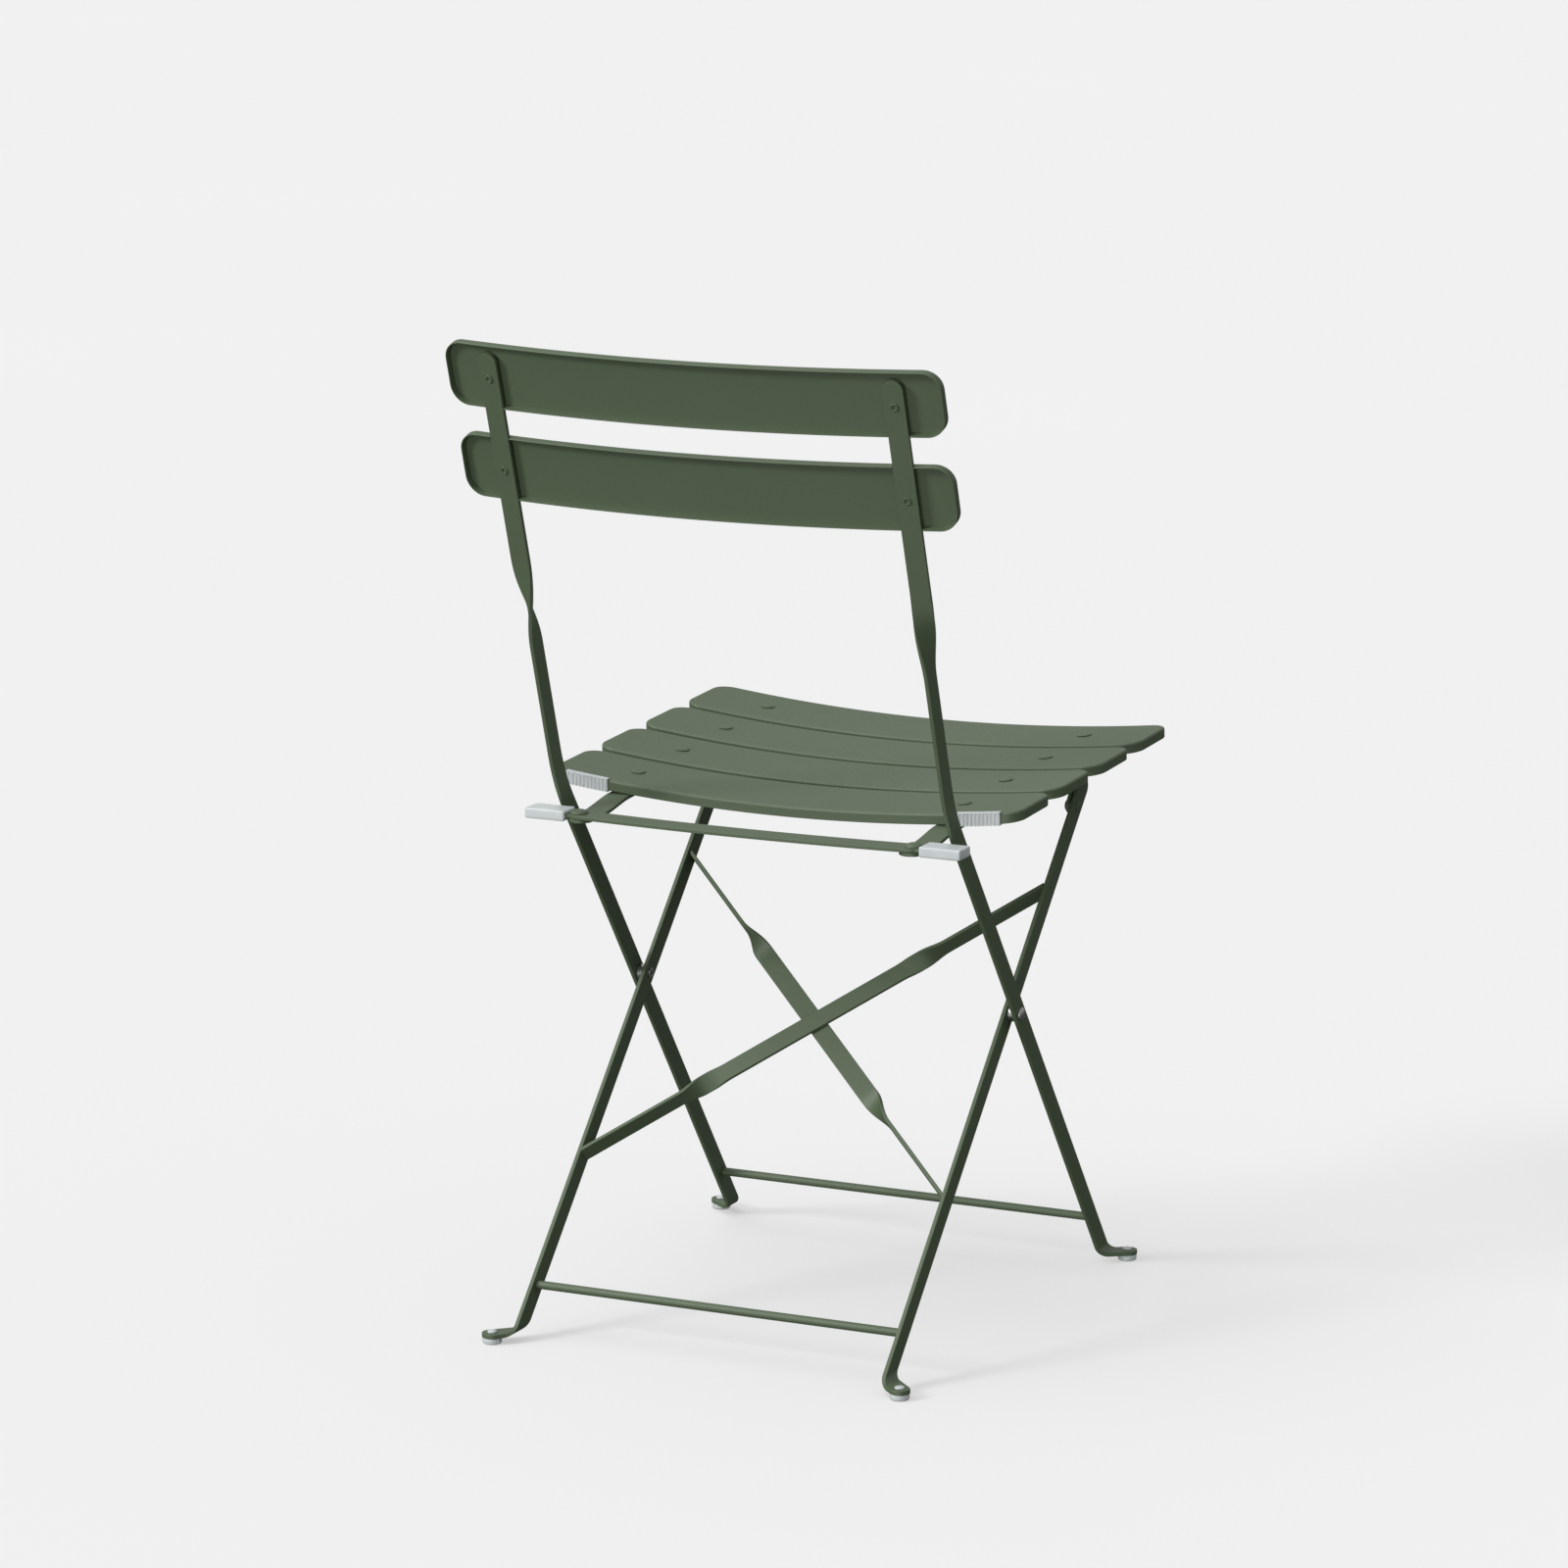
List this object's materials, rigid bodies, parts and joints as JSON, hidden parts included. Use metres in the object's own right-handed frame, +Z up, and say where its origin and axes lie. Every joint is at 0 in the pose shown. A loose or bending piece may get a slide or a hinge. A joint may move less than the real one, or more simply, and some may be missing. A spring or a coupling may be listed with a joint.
{
  "type": "folding bistro chair",
  "caption": "Folding chair of flat steel bar: scissor legs, dished slatted seat that lifts as it folds, bowed slatted back, plastic slides and foot glides.",
  "frame": {"origin": "on the floor, under the middle of the chair's bounding box", "axes": "+Z up; the sitter faces -Y; +X is the sitter's left"},
  "size_m": [0.431, 0.4993, 0.8229],
  "materials": {
    "green_paint": "satin olive-green powder coat with a fine texture",
    "white_plastic": "pale translucent moulded plastic",
    "zinc": "bare zinc-plated steel pins and washers"
  },
  "bodies": {
    "front_frame": {"upright_left": "green_paint", "upright_right": "green_paint", "front_stretcher_rod": "green_paint", "back_slat_lower": "green_paint", "back_slat_upper": "green_paint", "back_rivet_lower_left": "green_paint", "back_rivet_lower_right": "green_paint", "back_rivet_upper_left": "green_paint", "back_rivet_upper_right": "green_paint", "glide_front_left": "white_plastic", "glide_front_right": "white_plastic", "scissor_pin_left": "zinc", "scissor_pin_right": "zinc", "scissor_washer_left": "zinc", "scissor_washer_right": "zinc"},
    "rear_frame": {"rear_leg_left": "green_paint", "rear_leg_right": "green_paint", "rear_stretcher_rod": "green_paint", "cross_brace_rear": "green_paint", "cross_brace_front": "green_paint", "glide_rear_left": "white_plastic", "glide_rear_right": "white_plastic", "seat_hinge_pin_left": "green_paint", "seat_hinge_pin_right": "green_paint", "seat_hinge_washer_left": "zinc", "seat_hinge_washer_right": "zinc"},
    "seat": {"seat_slat_1": "green_paint", "seat_slat_2": "green_paint", "seat_slat_3": "green_paint", "seat_slat_4": "green_paint", "seat_rivet_1_left": "green_paint", "seat_rivet_1_right": "green_paint", "seat_rivet_2_left": "green_paint", "seat_rivet_2_right": "green_paint", "seat_rivet_3_left": "green_paint", "seat_rivet_3_right": "green_paint", "seat_rivet_4_left": "green_paint", "seat_rivet_4_right": "green_paint", "seat_rail_left": "green_paint", "seat_rail_right": "green_paint", "seat_hinge_ear_left": "green_paint", "seat_hinge_ear_right": "green_paint", "seat_crossbar": "green_paint", "crossbar_rivet_left": "green_paint", "crossbar_rivet_right": "green_paint", "slide_sleeve_left": "white_plastic", "slide_sleeve_right": "white_plastic", "edge_guard_left": "white_plastic", "edge_guard_right": "white_plastic"}
  },
  "joints": [
    {"name": "fold_hinge", "type": "hinge", "parent": "front_frame", "child": "rear_frame", "pos_m": [0, -0.0159, 0.2565], "axis": [-1, 0, 0], "range_deg": [0, 75]},
    {"name": "seat_hinge", "type": "hinge", "parent": "rear_frame", "child": "seat", "pos_m": [0, -0.15485, 0.402], "axis": [1, 0, 0], "range_deg": [0, 135.01]}
  ],
  "couplings": [
    {"joint": "seat_hinge", "follows": "fold_hinge", "ratio": 1.8}
  ]
}
